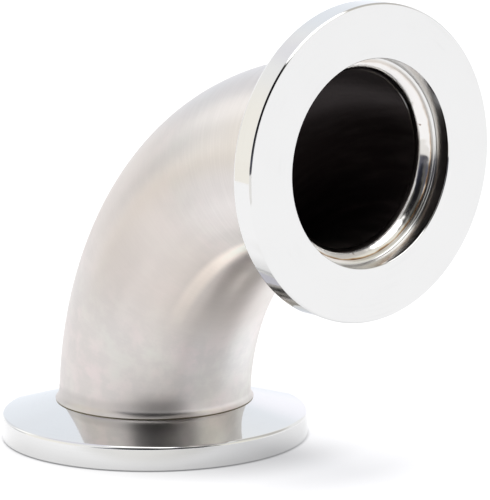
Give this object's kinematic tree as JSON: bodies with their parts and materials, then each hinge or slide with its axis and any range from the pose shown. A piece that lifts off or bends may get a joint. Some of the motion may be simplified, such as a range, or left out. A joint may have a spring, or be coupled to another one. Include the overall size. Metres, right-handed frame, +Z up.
{
  "type": "vacuum elbow",
  "caption": "Bent steel tube turning a right angle, with a round clamp flange welded on each open end, for joining vacuum lines at a corner.",
  "frame": {"origin": "centre of the lower flange's sealing face", "axes": "+Z up along the lower end of the tube, +X out of the upper flange, along its axis; the bend lies in the plane y = 0"},
  "size_m": [0.062, 0.04, 0.062],
  "materials": {
    "satin_steel": "satin",
    "polished_steel": "mirror-polished",
    "weld_metal": "as welded, with a straw and brown heat tint"
  },
  "bodies": {
    "root": {"elbow_tube": "satin_steel", "lower_flange": "polished_steel", "upper_flange": "polished_steel", "lower_weld_bead": "weld_metal", "upper_weld_bead": "weld_metal"}
  },
  "joints": []
}
